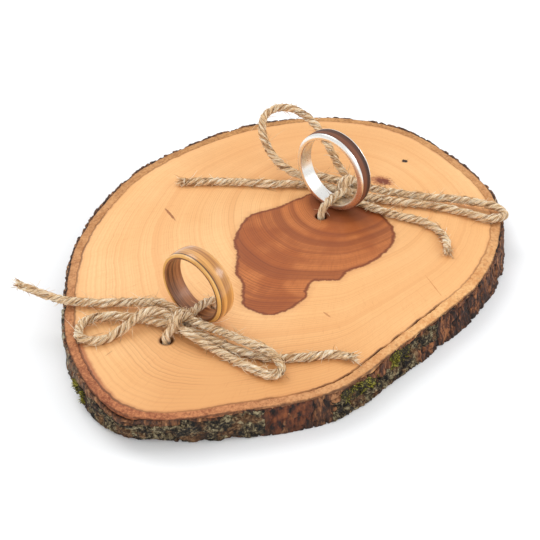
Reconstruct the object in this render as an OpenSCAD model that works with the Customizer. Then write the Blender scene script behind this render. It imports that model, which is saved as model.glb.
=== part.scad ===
// Wood-slice ring bearer: a live-edge slice of a small trunk on which two wedding
// rings stand, each held down by a jute twine that comes up through two drilled
// holes and is tied in a bow.
//
// Frame: +X to the right, +Y to the back, +Z up, millimetres. The origin is the
// centre of the slice's underside. Each ring has its own local frame at its foot,
// the lowest point of its band: "along" is the ring's axis towards the back,
// "across" is the ring's own plane, and heights are counted from the top face.

/* [Slice] */
// Width of the slice over the bark
slice_w = 122; // [100:1:150]
// Depth of the slice over the bark
slice_d = 138; // [112:1:168]
// Thickness of the slice
slice_t = 9; // [7:0.5:14]
// Thickness of the soft inner bark
inner_bark_t = 2.2; // [1.5:0.1:4]
// Thickness of the rough outer bark
outer_bark_t = 1; // [0.8:0.1:2]
// Thickness of the lichen and moss crust let into the bark
crust_t = 0.5; // [0.3:0.1:0.7]

/* [Twine] */
// Diameter of the jute twine
twine_d = 2.1; // [1.6:0.1:2.3]
// Diameter of the four drilled holes
hole_d = 3.6; // [2.8:0.1:4.4]
// Distance between the two holes of one twine
hole_pitch = 18.5; // [18:0.5:22]
// Width of the groove under the slice that houses the twine
groove_w = 3; // [2.6:0.1:4]
// Depth of the groove under the slice
groove_depth = 3.8; // [3.2:0.1:5]
// Free play between the twine and the ring that it holds down
tie_play = 0.35; // [0.2:0.05:0.6]

/* [Front ring] */
// Bore of the front ring, a bentwood band
front_bore = 17.3; // [15:0.1:21]
// Wall of the front ring at its crown
front_wall = 1.65; // [1.4:0.05:2.2]
// Width of the front ring's band
front_width = 5.4; // [4:0.1:6]
// Thickness of the dark liner
front_liner_t = 0.6; // [0.4:0.05:0.9]
// Width of the dark pinstripe veneer
pinstripe_w = 0.3; // [0.2:0.05:0.6]
// Width of the pale edge band in front of the pinstripe
pale_edge_w = 0.5; // [0.4:0.1:1.5]

/* [Rear ring] */
// Bore of the rear ring, silver with a wood inlay
rear_bore = 20.2; // [17:0.1:22]
// Wall of the rear ring at its crown
rear_wall = 1.9; // [1.6:0.05:2.4]
// Width of the rear ring's band
rear_width = 4.7; // [4.2:0.1:6]
// Thickness of the silver sleeve
sleeve_t = 0.6; // [0.4:0.05:0.8]
// Width of the wood inlay
inlay_w = 3.2; // [1.6:0.1:3.6]

/* [Placing] */
// Turn of both rings' axes from +X towards the back, in degrees
ring_azimuth = 49; // [40:1:60]
// Front ring's foot, to the right of the slice's centre
front_x = -24; // [-28:0.1:-20]
// Front ring's foot, behind the slice's centre
front_y = -31; // [-34:0.1:-26]
// Rear ring's foot, to the right of the slice's centre
rear_x = 12.3; // [8:0.1:16]
// Rear ring's foot, behind the slice's centre
rear_y = 19.2; // [14:0.1:22]
// How far the rings stand clear of the wood
ring_gap = 0.3; // [0.2:0.05:0.5]

/* [Hidden] */

// Outline of the slice: its radius every 20 degrees from +X, before it is fitted to
// slice_w and slice_d, and the number of sides that the smooth curve is drawn with
rim_radii = [58.5, 64.5, 67.5, 71.5, 70, 65, 60.5, 59, 58,
    60, 64, 72.5, 78.5, 67, 60, 51.5, 49.5, 53];
rim_sides = 144;
bark_t = inner_bark_t + outer_bark_t;

// Rings: crown radii, and the radius of the domed outside of each band's section
front_r = front_bore / 2 + front_wall;
rear_r = rear_bore / 2 + rear_wall;
crown_drop = 0.35;
ring_facets = 96;

// Twine: sides of a plain tube, how far a tube runs into its knot, and the knot's size
twine_r = twine_d / 2;
tube_sides = 8;
knot_along = 6;
knot_across = 5.2;
knot_height = 4.9;
knot_round = 1.6;
knot_bite = 0.6;
knot_face = knot_across / 2 - knot_bite;
// Where the knots and the holes lie, counted along each ring's axis from its foot
knot_reach = 7.1;
tie_hole = 6.4;
far_hole = hole_pitch - tie_hole;
// The strand on a ring's body stops short of its knot and of the strand in the hole
tie_end_gap = 0.8;
tie_foot_depth = 0.8;
under_top_depth = 2.3;
under_floor = 0.35;
rear_tie_shift = -1;

// Routes: [along, across, clear height under the twine]
front_left_tail_route = [[-5, knot_face, 1.9], [-4.8, 8.5, 1.9], [-9, 16, 0.8],
    [-15, 23.5, 0.3], [-20.5, 31, 1], [-25, 40.5, 3.3]];
front_left_loop_route = [[-9.6, knot_face, 0.8], [-11, 9, 0.05], [-16, 16, 0.7],
    [-22, 19.5, 0.7], [-26.7, 16.5, 0.2], [-24, 11.5, 0.1], [-18, 10, 0.7],
    [-11.7, 9, 2.5], [-8, 6.5, 2.4], [-7.2, knot_face, 1.8]];
front_right_loop_route = [[-5, -knot_face, 2.7], [-4.5, -9, 3], [-2.9, -17, 2.9],
    [-1.4, -25.5, 2.6], [-2.8, -30.6, 1.2], [-5.8, -29.2, 0.2], [-6.9, -22, 0.1],
    [-7.7, -14.5, 0.4], [-8.7, -7, 1.4], [-9.2, -knot_face, 1.9]];
front_right_tail_route = [[-7, -knot_face, 0.5], [-6, -8.5, 0.7], [-4.2, -17, 0.2],
    [-0.8, -25.2, 0.05], [5, -31.2, 0.05], [10.3, -35.6, 0.05], [12.4, -40.2, 0.3]];
rear_left_tail_route = [[5, knot_face, 0.1], [4.6, 7.5, 0.1], [0.8, 13, 0.2],
    [-4, 18.8, 0.05], [-9.5, 26.5, 0.05], [-15.5, 34, 0.05], [-20.7, 39.5, 0.05]];
rear_raised_loop_route = [[7.3, knot_face, 2.2], [6, 9, 1.8], [2.6, 16, 1.6],
    [0.8, 23, 5.2], [2.6, 29.3, 10.8], [8, 31.8, 14], [13.4, 27.8, 14.6],
    [15.2, 20.5, 12], [13.2, 12.7, 8], [10.8, 7, 4.8], [9.5, knot_face, 3]];
rear_right_loop_route = [[9.5, -knot_face, 2.3], [12.3, -9, 1.8], [17.9, -18, 0.9],
    [23.5, -27, 1], [27.4, -37, 1.2], [26, -41.8, 0.8], [22.6, -39, 0.3],
    [20.3, -30.5, 0.1], [16.7, -21.5, 0.1], [11.6, -13, 0.3], [8.3, -6.5, 0.5],
    [7.2, -knot_face, 0.8]];
rear_right_tail_route = [[5, -knot_face, 0.1], [5.3, -9, 0.05], [6.6, -17, 0.05],
    [9.2, -26, 0.05], [7.6, -33.4, 0.05], [2.5, -38.6, 0.05]];

// ---- Outline of the slice ----

function rim_radius(i) = rim_radii[(i + len(rim_radii)) % len(rim_radii)];

// Smooth closed curve through four neighbouring radii, f running from the second to the third
function between(p0, p1, p2, p3, f) = 0.5 * (2 * p1 + (p2 - p0) * f
    + (2 * p0 - 5 * p1 + 4 * p2 - p3) * f * f + (3 * p1 - p0 - 3 * p2 + p3) * f * f * f);

// Point of the raw outline at share s of a turn
function raw_rim(s) =
    let (t = s * len(rim_radii), i = floor(t), f = t - i,
        r = between(rim_radius(i - 1), rim_radius(i), rim_radius(i + 1), rim_radius(i + 2), f))
    r * [cos(360 * s), sin(360 * s)];

raw_points = [for (k = [0 : rim_sides - 1]) raw_rim(k / rim_sides)];
raw_xs = [for (p = raw_points) p[0]];
raw_ys = [for (p = raw_points) p[1]];
raw_w = max(raw_xs) - min(raw_xs);
raw_d = max(raw_ys) - min(raw_ys);
raw_mid = [(max(raw_xs) + min(raw_xs)) / 2, (max(raw_ys) + min(raw_ys)) / 2];

rim = [for (p = raw_points)
    [(p[0] - raw_mid[0]) * slice_w / raw_w, (p[1] - raw_mid[1]) * slice_d / raw_d]];

// Inward unit normal at corner k of the outline
function rim_inward(k) =
    let (n = len(rim), d = rim[(k + 1) % n] - rim[(k + n - 1) % n])
    [-d[1], d[0]] / norm(d);

// Corners k0 to k1 of the outline, moved inwards
function inset_rim(inset, k0 = 0, k1 = rim_sides - 1) =
    [for (k = [k0 : k1]) rim[k % rim_sides] + inset * rim_inward(k % rim_sides)];

function reversed(list) = [for (k = [len(list) - 1 : -1 : 0]) list[k]];

module slice_disc(inset) {
    linear_extrude(slice_t)
        polygon(inset_rim(inset));
}

// Strip of bark from corner k0 to corner k1, between two insets and two shares of the height
module rim_strip(k0, k1, inset0, inset1, low, high) {
    translate([0, 0, slice_t * low])
        linear_extrude(slice_t * (high - low))
            polygon(concat(inset_rim(inset0, k0, k1), reversed(inset_rim(inset1, k0, k1))));
}

// ---- Places ----

module at_front() {
    translate([front_x, front_y, slice_t])
        rotate([0, 0, ring_azimuth])
            children();
}

module at_rear() {
    translate([rear_x, rear_y, slice_t])
        rotate([0, 0, ring_azimuth])
            children();
}

// Lays a ring, turned about +Z, on its edge with its axis along the local x
module stand(r) {
    translate([0, 0, ring_gap + r])
        rotate([0, 90, 0])
            children();
}

// ---- Slice ----

// The two holes of a twine and the groove that joins them underneath
module twine_way(near, far, shift) {
    for (x = [near, far])
        translate([x, shift, -slice_t - 1])
            cylinder(d = hole_d, h = slice_t + 2, $fn = 48);
    translate([min(near, far), shift - groove_w / 2, -slice_t - 1])
        cube([abs(near - far), groove_w, groove_depth + 1]);
}

module wood_slice() {
    color("burlywood")
        difference() {
            slice_disc(bark_t);
            at_front()
                twine_way(tie_hole, -far_hole, 0);
            at_rear()
                twine_way(-tie_hole, far_hole, rear_tie_shift);
        }
}

module inner_bark() {
    color("peru")
        difference() {
            slice_disc(outer_bark_t);
            linear_extrude(3 * slice_t, center = true)
                polygon(inset_rim(bark_t));
        }
}

module outer_bark() {
    color("saddlebrown")
        difference() {
            slice_disc(0);
            linear_extrude(3 * slice_t, center = true)
                polygon(inset_rim(outer_bark_t));
            front_lichen();
            right_lichen();
            right_moss();
            left_moss();
        }
}

module front_lichen() {
    color("darkkhaki") {
        rim_strip(92, 95, 0, crust_t, 0.1, 0.9);
        rim_strip(96, 105, 0, crust_t, 0.06, 0.94);
    }
}

module right_lichen() {
    color("gray") {
        rim_strip(112, 118, 0, crust_t, 0.06, 0.4);
        rim_strip(124, 127, 0, crust_t, 0.45, 0.92);
    }
}

module right_moss() {
    color("olivedrab") {
        rim_strip(113, 117, 0, crust_t, 0.46, 0.86);
        rim_strip(119, 123, 0, crust_t, 0.25, 0.94);
    }
}

module left_moss() {
    color("yellowgreen")
        rim_strip(89, 91, 0, crust_t, 0.15, 0.6);
}

// ---- Rings ----

// Hoop about +Z from inner radius r_in, between z0 and z1, whose outside is domed
// to radius r at mid width
module hoop(r_in, r, width, z0, z1) {
    dome_r = (pow(width / 2, 2) + pow(crown_drop, 2)) / (2 * crown_drop);
    rotate_extrude($fn = ring_facets)
        intersection() {
            translate([r_in, z0])
                square([r - r_in, z1 - z0]);
            translate([r - dome_r, 0])
                circle(r = dome_r, $fn = 128);
        }
}

// Straight tube about +Z, centred on the origin
module sleeve(r_in, thickness, width) {
    rotate_extrude($fn = ring_facets)
        translate([r_in, -width / 2])
            square([thickness, width]);
}

front_liner_r = front_bore / 2 + front_liner_t;
pale_edge_end = -front_width / 2 + pale_edge_w;
sleeve_r = rear_bore / 2 + sleeve_t;

module front_ring_liner() {
    color("sienna")
        at_front() stand(front_r)
            sleeve(front_bore / 2, front_liner_t, front_width);
}

module front_ring_pale_edge() {
    color("wheat")
        at_front() stand(front_r)
            hoop(front_liner_r, front_r, front_width, -front_width / 2, pale_edge_end);
}

module front_ring_pinstripe() {
    color("saddlebrown")
        at_front() stand(front_r)
            hoop(front_liner_r, front_r, front_width, pale_edge_end, pale_edge_end + pinstripe_w);
}

module front_ring_band() {
    color("goldenrod")
        at_front() stand(front_r)
            hoop(front_liner_r, front_r, front_width, pale_edge_end + pinstripe_w, front_width / 2);
}

module rear_ring_sleeve() {
    color("silver")
        at_rear() stand(rear_r)
            sleeve(rear_bore / 2, sleeve_t, rear_width);
}

module rear_ring_inlay() {
    color("sienna")
        at_rear() stand(rear_r)
            hoop(sleeve_r, rear_r, rear_width, -inlay_w / 2, inlay_w / 2);
}

module rear_ring_front_edge() {
    color("lightgray")
        at_rear() stand(rear_r)
            hoop(sleeve_r, rear_r, rear_width, -rear_width / 2, -inlay_w / 2);
}

module rear_ring_back_edge() {
    color("lightgray")
        at_rear() stand(rear_r)
            hoop(sleeve_r, rear_r, rear_width, inlay_w / 2, rear_width / 2);
}

// ---- Twine ----

function unit(v) = v / norm(v);

// Direction of a route at point k, from the neighbours on both sides
function heading(path, k) =
    unit(path[min(k + 1, len(path) - 1)] - path[max(k - 1, 0)]);

// One octagon of the tube at point k, square to the route; neighbouring octagons
// line up
function tube_ring(path, k) =
    let (h = heading(path, k), side = level_side(path, k), up = cross(side, h))
    [for (i = [0 : tube_sides - 1])
        path[k] + twine_r * (cos(360 * i / tube_sides) * side + sin(360 * i / tube_sides) * up)];

// Sideways direction carried along the route with the least turning
function level_side(path, k) =
    k == 0 ? unit(cross(heading(path, 0), [0.1, 0.2, 1]))
        : let (h = heading(path, k), s = level_side(path, k - 1)) unit(s - (s * h) * h);

module tube(path) {
    n = len(path);
    points = [for (k = [0 : n - 1]) each tube_ring(path, k)];
    sides = [for (k = [0 : n - 2]) for (i = [0 : tube_sides - 1])
        let (j = (i + 1) % tube_sides, a = k * tube_sides, b = a + tube_sides)
            each [[a + i, b + j, b + i], [a + i, a + j, b + j]]];
    start = [for (i = [tube_sides - 1 : -1 : 0]) i];
    end = [for (i = [0 : tube_sides - 1]) (n - 1) * tube_sides + i];
    polyhedron(points = points, faces = concat([start, end], sides));
}

// Tube along a route whose heights are clear heights under the twine
module lying(route) {
    tube([for (p = route) [p[0], p[1], p[2] + twine_r]]);
}

// Solid that stands for the tied knot, dir towards the side of the ring that it is on
module knot(dir) {
    dx = knot_along / 2 - knot_round;
    dy = knot_across / 2 - knot_round;
    dz = knot_height / 2 - knot_round;
    translate([dir * knot_reach, 0, knot_height / 2 + 0.1])
        hull()
            for (x = [-dx, dx], y = [-dy, dy], z = [-dz, dz])
                translate([x, y, z])
                    sphere(r = knot_round, $fn = 16);
}

// Strand from inside the hole, over the band and through the bore, towards the knot
// on side dir
function tie_route(dir, wall, shift) =
    let (h = ring_gap + wall + tie_play + twine_r,
        knot_side = knot_reach - knot_along / 2 - tie_end_gap)
    [[-dir * tie_hole, shift, -tie_foot_depth], [-dir * (tie_hole - 0.2), shift, h * 0.3],
        [-dir * (tie_hole - 1.5), shift, h * 0.8], [-dir * (tie_hole - 4), shift, h],
        [dir * knot_side, shift, h]];

// Strand from the tie's hole along the groove and up the far hole into the knot
function under_route(dir, shift) =
    let (low = under_floor + twine_r - slice_t, bend = 2.4)
    [[-dir * tie_hole, shift, -under_top_depth], [-dir * (tie_hole - 0.3), shift, low + bend],
        [-dir * (tie_hole - bend), shift, low], [dir * (far_hole - bend), shift, low],
        [dir * (far_hole - 0.3), shift, low + bend], [dir * far_hole, shift, 0],
        [dir * (far_hole - 0.8), shift, twine_r + 1],
        [dir * (knot_reach + knot_along / 2 - knot_bite), 0, twine_r + 1.6]];

module front_knot() { color("tan") at_front() knot(-1); }
module front_left_tail() { color("tan") at_front() lying(front_left_tail_route); }
module front_left_loop() { color("tan") at_front() lying(front_left_loop_route); }
module front_right_loop() { color("tan") at_front() lying(front_right_loop_route); }
module front_right_tail() { color("tan") at_front() lying(front_right_tail_route); }
module front_tie() { color("tan") at_front() tube(tie_route(-1, front_wall, 0)); }
module front_under() { color("tan") at_front() tube(under_route(-1, 0)); }
module rear_knot() { color("tan") at_rear() knot(1); }
module rear_left_tail() { color("tan") at_rear() lying(rear_left_tail_route); }
module rear_raised_loop() { color("tan") at_rear() lying(rear_raised_loop_route); }
module rear_right_loop() { color("tan") at_rear() lying(rear_right_loop_route); }
module rear_right_tail() { color("tan") at_rear() lying(rear_right_tail_route); }
module rear_tie() { color("tan") at_rear() tube(tie_route(1, rear_wall, rear_tie_shift)); }
module rear_under() { color("tan") at_rear() tube(under_route(1, rear_tie_shift)); }

wood_slice();
inner_bark();
outer_bark();
front_lichen();
right_lichen();
right_moss();
left_moss();
front_ring_liner();
front_ring_band();
front_ring_pinstripe();
front_ring_pale_edge();
rear_ring_sleeve();
rear_ring_inlay();
rear_ring_front_edge();
rear_ring_back_edge();
front_knot();
front_left_tail();
front_left_loop();
front_right_loop();
front_right_tail();
front_tie();
front_under();
rear_knot();
rear_left_tail();
rear_raised_loop();
rear_right_loop();
rear_right_tail();
rear_tie();
rear_under();
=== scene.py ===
"""Wood-slice ring bearer: a live-edge slice of a small trunk, and two wedding rings tied to it with jute twine.

Everything is in metres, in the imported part's frame: +X to the right, +Y to the back, +Z up, and the origin
at the centre of the underside. Most numbers below are millimetres and are multiplied by MM.
"""

import bpy
import numpy as np
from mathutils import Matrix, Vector


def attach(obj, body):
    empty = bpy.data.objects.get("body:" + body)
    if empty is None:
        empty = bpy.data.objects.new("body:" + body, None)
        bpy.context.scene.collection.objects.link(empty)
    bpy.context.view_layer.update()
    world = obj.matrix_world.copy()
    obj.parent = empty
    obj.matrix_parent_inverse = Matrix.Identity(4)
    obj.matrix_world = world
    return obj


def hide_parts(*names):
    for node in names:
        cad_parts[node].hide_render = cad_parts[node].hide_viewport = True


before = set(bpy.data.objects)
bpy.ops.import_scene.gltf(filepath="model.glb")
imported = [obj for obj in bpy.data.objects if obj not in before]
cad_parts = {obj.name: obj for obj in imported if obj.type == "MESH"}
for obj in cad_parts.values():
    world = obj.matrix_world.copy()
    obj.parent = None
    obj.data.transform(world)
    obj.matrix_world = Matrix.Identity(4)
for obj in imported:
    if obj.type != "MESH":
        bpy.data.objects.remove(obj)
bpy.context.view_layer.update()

MM = 0.001
TAU = 2 * np.pi

# Sizes of the slice, in millimetres
SLICE_W, SLICE_D, SLICE_T = 122, 138, 9
BARK_T = 3.2
RIND_T = 1.0
HOLE_R = 1.8
GROOVE_W, GROOVE_DEPTH = 3.0, 3.8
PITH = np.array([16.1, 21.8])
RIM_RADII = np.array([58.5, 64.5, 67.5, 71.5, 70, 65, 60.5, 59, 58,
                      60, 64, 72.5, 78.5, 67, 60, 51.5, 49.5, 53])

# Places of the rings' feet, and the directions "along" a ring's axis and "across" it
FEET = {"front": np.array([-24.0, -31.0]), "rear": np.array([12.3, 19.2])}
RING_TURN = np.radians(49)
ALONG = np.array([np.cos(RING_TURN), np.sin(RING_TURN), 0])
ACROSS = np.array([-np.sin(RING_TURN), np.cos(RING_TURN), 0])
RING_GAP = 0.3
BORES = {"front": 17.3, "rear": 20.2}
WALLS = {"front": 1.65, "rear": 1.9}
SLEEVE_WALL = 0.6
CROWN_DROP = 0.35
UP = np.array([0, 0, 1])

# Twine
TWINE_D = 2.1
TWINE_R = TWINE_D / 2
TWINE_LAY = 7.5
KNOT_FACE = 2.0


# ---- Camera ----

def add_object(name, data):
    made = bpy.data.objects.new(name, data)
    bpy.context.scene.collection.objects.link(made)
    return made


def add_camera():
    """An 85 mm lens, 345 mm from the point that it looks at, 38 degrees above the horizon and facing +Y."""
    target = Vector((-5.77, -11.24, 9.0)) * MM
    lift = np.radians(38)
    place = target + Vector((0, -np.cos(lift), np.sin(lift))) * 0.345
    data = bpy.data.cameras.new("camera")
    data.lens = 85
    data.sensor_width = 36
    data.clip_start, data.clip_end = 0.01, 10
    camera = add_object("camera", data)
    camera.location = place
    camera.rotation_mode = "QUATERNION"
    camera.rotation_quaternion = (target - place).to_track_quat("-Z", "Y")
    bpy.context.scene.camera = camera


add_camera()


# ---- Shapes in whole arrays ----

def unit(v):
    """v / |v|."""
    return v / np.maximum(np.linalg.norm(v, axis=-1, keepdims=True), 1e-12)


def ease(x, low, high):
    """3t^2 - 2t^3, with t running from 0 at low to 1 at high."""
    t = np.clip((x - low) / (high - low), 0, 1)
    return t * t * (3 - 2 * t)


def ripple(u, v, cells_u, cells_v, seed):
    """A smooth random field: values from -1 to 1 on the corners of a lattice of cells_u by cells_v over one
    turn u and one height v, joined by 3t^2 - 2t^3 both ways. It closes on itself in u."""
    table = np.random.default_rng(seed).uniform(-1, 1, (cells_u, cells_v + 2))
    x, y = u * cells_u, np.clip(v, 0, 1) * cells_v
    i, j = np.floor(x).astype(int), np.floor(y).astype(int)
    fx, fy = ease(x - i, 0, 1), ease(y - j, 0, 1)
    i, k = i % cells_u, (i + 1) % cells_u
    low = table[i, j] * (1 - fx) + table[k, j] * fx
    high = table[i, j + 1] * (1 - fx) + table[k, j + 1] * fx
    return low * (1 - fy) + high * fy


def through(points, t, closed=False):
    """Catmull-Rom curve: at t = i + f it is (2 p1 + (p2 - p0) f + (2 p0 - 5 p1 + 4 p2 - p3) f^2
    + (3 p1 - p0 - 3 p2 + p3) f^3) / 2, with p1 = points[i]."""
    p = np.asarray(points, float)
    n = len(p)
    if closed:
        i = np.floor(t).astype(int)
        p0, p1, p2, p3 = (p[(i + k) % n] for k in (-1, 0, 1, 2))
    else:
        i = np.clip(np.floor(t).astype(int), 0, n - 2)
        padded = np.concatenate([[2 * p[0] - p[1]], p, [2 * p[-1] - p[-2]]])
        p0, p1, p2, p3 = (padded[i + k] for k in range(4))
    f = (t - i).reshape(t.shape + (1,) * (p.ndim - 1))
    return 0.5 * (2 * p1 + (p2 - p0) * f + (2 * p0 - 5 * p1 + 4 * p2 - p3) * f * f
                  + (3 * p1 - p0 - 3 * p2 + p3) * f * f * f)


def steps(line):
    """Distances from each point of a line to the next."""
    return np.linalg.norm(np.diff(line, axis=0), axis=1)


def distances(line):
    """Distance of each point from the start, along the line."""
    return np.concatenate([[0], np.cumsum(steps(line))])


def resampled(line, step):
    """The same line with its points an equal distance apart, close to step."""
    run = distances(line)
    at = np.linspace(0, run[-1], int(np.ceil(run[-1] / step)) + 1)
    return np.stack([np.interp(at, run, line[:, k]) for k in range(line.shape[1])], axis=1)


def smooth_path(points, step, soft=0.75 * MM):
    """A Catmull-Rom curve through the points, resampled to an even step, with each point then moved to the
    mean of its neighbours weighted by exp(-(distance / soft)^2 / 2). The ends stay where they are, because
    beyond them the line goes on as its own half-turned copy."""
    t = np.linspace(0, len(points) - 1, (len(points) - 1) * 40 + 1)
    line = resampled(through(points, t), step)
    n = int(3 * soft / step)
    weight = np.exp(-(np.arange(-n, n + 1) * step / soft) ** 2 / 2)
    padded = np.concatenate([2 * line[0] - line[n:0:-1], line, 2 * line[-1] - line[-2:-n - 2:-1]])
    mean = [np.convolve(padded[:, k], weight / weight.sum(), "valid") for k in range(3)]
    return resampled(np.stack(mean, 1), step)


def carried_frames(line):
    """Two directions square to the line at each point. The first is carried along with the least turning: at
    each step it loses its part along the new tangent and is made a unit vector again."""
    tangent = unit(np.gradient(line, axis=0))
    side = np.zeros_like(line)
    ref = np.array([0, 0, 1.0]) if abs(tangent[0, 2]) < 0.8 else np.array([1.0, 0, 0])
    s = np.cross(tangent[0], ref)
    for k, t in enumerate(tangent):
        s = s - (s @ t) * t
        s = s / np.linalg.norm(s)
        side[k] = s
    return tangent, side, np.cross(tangent, side)


def link(name, mesh, body, material, replaces=()):
    """Puts a mesh into the scene as a piece that rides on a body."""
    piece = add_object(name, mesh)
    mesh.materials.append(material)
    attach(piece, body)
    if replaces:
        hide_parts(*replaces)
    return piece


def mesh_of(name, points, faces, uv=None, smooth=True):
    """A mesh from whole arrays: points (n, 3) in metres, faces (m, 3) or (m, 4), and uv one pair per corner.
    The faces are turned round if the volume that they enclose comes out negative."""
    p = points[faces]
    volume = np.einsum("ij,ij->i", p[:, 0], np.cross(p[:, 1], p[:, 2])).sum()
    if faces.shape[1] == 4:
        volume += np.einsum("ij,ij->i", p[:, 0], np.cross(p[:, 2], p[:, 3])).sum()
    if volume < 0:
        faces = faces[:, ::-1]
        uv = None if uv is None else uv[:, ::-1]
    size = faces.shape[1]
    mesh = bpy.data.meshes.new(name)
    mesh.vertices.add(len(points))
    mesh.vertices.foreach_set("co", points.astype(np.float32).ravel())
    mesh.loops.add(faces.size)
    mesh.loops.foreach_set("vertex_index", faces.astype(np.int32).ravel())
    mesh.polygons.add(len(faces))
    mesh.polygons.foreach_set("loop_start", np.arange(0, faces.size, size, dtype=np.int32))
    mesh.polygons.foreach_set("use_smooth", np.full(len(faces), smooth))
    mesh.update(calc_edges=True)
    mesh.validate()
    if uv is not None:
        layer = mesh.uv_layers.new(name="UVMap")
        layer.data.foreach_set("uv", uv.astype(np.float32).reshape(-1))
    return mesh


def keep(mesh, name, values):
    """Gives each vertex one number for the materials."""
    mesh.attributes.new(name, "FLOAT", "POINT").data.foreach_set("value", values.astype(np.float32))


def strip_faces(rows, columns, closed_rows=False):
    """Quads of a grid of rows by columns whose columns close on themselves, and whose rows do if asked."""
    i = np.arange(rows if closed_rows else rows - 1)[:, None]
    j = np.arange(columns)[None, :]
    k, m = (i + 1) % rows, (j + 1) % columns
    quads = [i * columns + j, i * columns + m, k * columns + m, k * columns + j]
    return np.stack([np.broadcast_to(q, (len(i), columns)) for q in quads], -1).reshape(-1, 4)


def tube_mesh(name, grid, uv=None):
    """A tube from a grid of rings (rings, sides, 3), closed at each end by a fan of quads: each joins two sides
    of the ring to its middle."""
    rings, sides, _ = grid.shape
    points = np.concatenate([grid.reshape(-1, 3), [grid[0].mean(0)], [grid[-1].mean(0)]])
    body = strip_faces(rings, sides)
    j = np.arange(0, sides, 2)
    k, m = (j + 1) % sides, (j + 2) % sides
    start, last, base = rings * sides, rings * sides + 1, (rings - 1) * sides
    caps = [np.stack([np.full(len(j), start), m, k, j], -1),
            np.stack([np.full(len(j), last), base + j, base + k, base + m], -1)]
    faces = np.concatenate([body, *caps])
    if uv is not None:
        uv = np.concatenate([uv, np.zeros((2 * len(j), 4, 2))])
    return mesh_of(name, points, faces, uv)


# ---- Node materials ----

class Field:
    """What a node's output gives, to be added, subtracted and multiplied like a number."""

    def __init__(self, socket):
        self.socket = socket

    def __add__(self, other):
        return calc("ADD", self, other)

    def __radd__(self, other):
        return calc("ADD", other, self)

    def __sub__(self, other):
        return calc("SUBTRACT", self, other)

    def __rsub__(self, other):
        return calc("SUBTRACT", other, self)

    def __mul__(self, other):
        return calc("MULTIPLY", self, other)


def begin(tree):
    """Makes this the tree that the helpers below add their nodes to."""
    global TREE
    TREE = tree
    return tree


def colour(r, g, b):
    """Red, green and blue from 0 to 255, as the linear colour that a shader takes."""
    c = np.array([r, g, b]) / 255
    linear = np.where(c <= 0.04045, c / 12.92, ((c + 0.055) / 1.055) ** 2.4)
    return (*map(float, linear), 1.0)


def join(socket, value):
    """Gives an input its value: a number, a colour (red, green, blue) from 0 to 255, or a field."""
    if isinstance(value, Field):
        TREE.links.new(value.socket, socket)
    elif socket.type == "RGBA" and len(value) == 3:
        socket.default_value = colour(*value)
    else:
        socket.default_value = value


def feed(node, **inputs):
    """Gives a node's inputs their values; an underscore in a name stands for a blank."""
    for name, value in inputs.items():
        join(node.inputs[name.replace("_", " ")], value)
    return node


def put(kind, inputs=None, output=0, **settings):
    """Adds a node with its settings and inputs, and gives one of its outputs."""
    node = TREE.nodes.new(kind)
    for name, value in settings.items():
        setattr(node, name, value)
    for name, value in (inputs or {}).items():
        join(node.inputs[name], value)
    return Field(node.outputs[output])


def calc(operation, *values, clamp=False):
    return put("ShaderNodeMath", dict(enumerate(values)), operation=operation, use_clamp=clamp)


def vector(x=0.0, y=0.0, z=0.0):
    return put("ShaderNodeCombineXYZ", {0: x, 1: y, 2: z})


def fade(value, low, high):
    """0 below low and 1 above high, smooth between; the other way round where high is the lower one."""
    return put("ShaderNodeMapRange", {"Value": value, "From Min": low, "From Max": high}, "Result",
               interpolation_type="SMOOTHSTEP")


def mix(share, a, b):
    return put("ShaderNodeMix", {0: share, 6: a, 7: b}, 2, data_type="RGBA")


def noise(at, scale, detail=3, rough=0.55):
    return put("ShaderNodeTexNoise", {"Vector": at, "Scale": scale, "Detail": detail, "Roughness": rough})


def stretched(at, scale, turn=(0, 0, 0), shift=(0, 0, 0)):
    return put("ShaderNodeMapping", {"Vector": at, "Location": shift, "Rotation": turn, "Scale": scale})


def ramp(value, *stops):
    """Colours between stops, each a place from 0 to 1 and a colour."""
    node = feed(TREE.nodes.new("ShaderNodeValToRGB"), Fac=value)
    band = node.color_ramp.elements
    while len(band) < len(stops):
        band.new(0.5)
    for element, (place, shade) in zip(band, stops):
        element.position, element.color = place, colour(*shade)
    return Field(node.outputs["Color"])


def bump(height, strength, depth):
    """A bump of the given depth in metres."""
    return put("ShaderNodeBump", {"Strength": strength, "Distance": depth, "Height": height})


def material(name, **constants):
    """A material with a Principled BSDF, whose constant values are set on its own sockets."""
    made = bpy.data.materials.new(name)
    made.use_nodes = True
    return made, feed(begin(made.node_tree).nodes["Principled BSDF"], **constants)


def object_place():
    return put("ShaderNodeTexCoord", output="Object")


def attribute(name, output="Fac"):
    return put("ShaderNodeAttribute", output=output, attribute_name=name)


def group(name, ins, outs):
    """A node group from inputs, each (name, kind, default), and outputs, each (name, kind)."""
    tree = begin(bpy.data.node_groups.new(name, "ShaderNodeTree"))
    for label, kind, value in ins:
        socket = tree.interface.new_socket(name=label, in_out="INPUT", socket_type="NodeSocket" + kind)
        if value is not None:
            socket.default_value = value
    for label, kind in outs:
        tree.interface.new_socket(name=label, in_out="OUTPUT", socket_type="NodeSocket" + kind)
    given = {socket.name: Field(socket) for socket in tree.nodes.new("NodeGroupInput").outputs}
    return tree, given, tree.nodes.new("NodeGroupOutput").inputs


def placed(what, **values):
    """Places a node group with its own values and gives its outputs by name."""
    node = TREE.nodes.new("ShaderNodeGroup")
    node.node_tree = what
    return {socket.name: Field(socket) for socket in feed(node, **values).outputs}


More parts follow.
